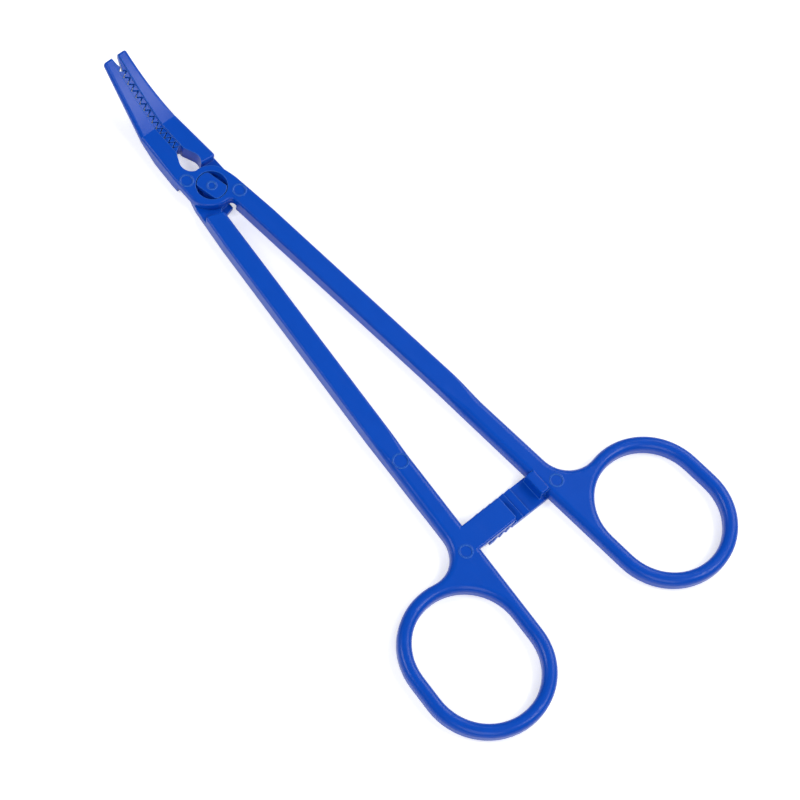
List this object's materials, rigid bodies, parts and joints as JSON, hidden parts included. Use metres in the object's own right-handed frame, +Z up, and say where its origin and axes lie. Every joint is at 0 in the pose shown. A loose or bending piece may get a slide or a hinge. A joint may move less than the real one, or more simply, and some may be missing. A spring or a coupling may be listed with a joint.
{
  "type": "haemostatic forceps",
  "caption": "Crossed plastic forceps with finger rings, a ratchet between the shanks, a snap-in pivot and serrated jaws that curve up to the tip.",
  "frame": {"origin": "on the pivot axis, in the plane the forceps lie on", "axes": "+Z up along the pivot axis, +X from the pivot towards the finger rings, midway between them, +Y towards the ring of the half with the eye"},
  "size_m": [0.1901, 0.093, 0.0141],
  "materials": {
    "blue_plastic": "satin moulded polymer, opaque blue"
  },
  "bodies": {
    "eye_side": {"eye_half": "blue_plastic"},
    "stud_side": {"stud_half": "blue_plastic"}
  },
  "joints": [
    {"name": "pivot", "type": "hinge", "parent": "eye_side", "child": "stud_side", "pos_m": [0, 0, 0], "axis": [0, 0, -1], "range_deg": [-0.4, 70]}
  ]
}
